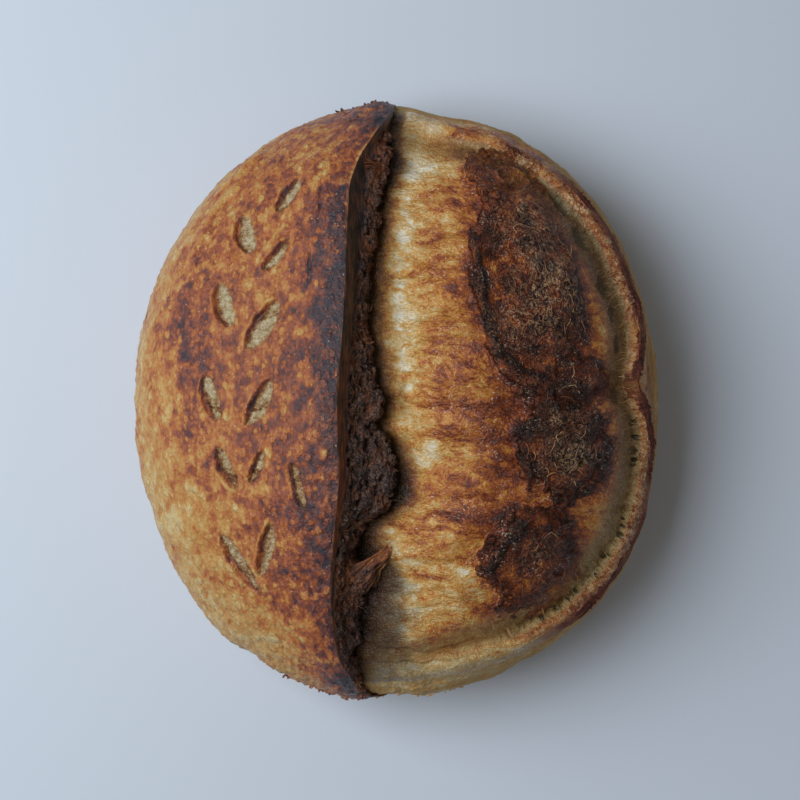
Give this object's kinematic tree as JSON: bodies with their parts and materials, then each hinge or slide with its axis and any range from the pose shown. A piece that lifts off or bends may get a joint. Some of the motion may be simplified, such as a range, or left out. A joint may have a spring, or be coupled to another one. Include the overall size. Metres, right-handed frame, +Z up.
{
  "type": "sourdough loaf",
  "caption": "Oval round-baked country loaf with one off-centre slash opened into a lifted ear, an open bloom, and rows of small leaf cuts.",
  "frame": {"origin": "middle of the flat base, under the middle of the loaf", "axes": "+Z up; +Y along the slash, to the back end of the loaf; +X from the lifted ear across the open bloom"},
  "size_m": [0.2072, 0.2344, 0.1031],
  "materials": {
    "crust": "dry baked crust, satin where blistered"
  },
  "bodies": {
    "root": {"loaf": "crust"}
  },
  "joints": []
}
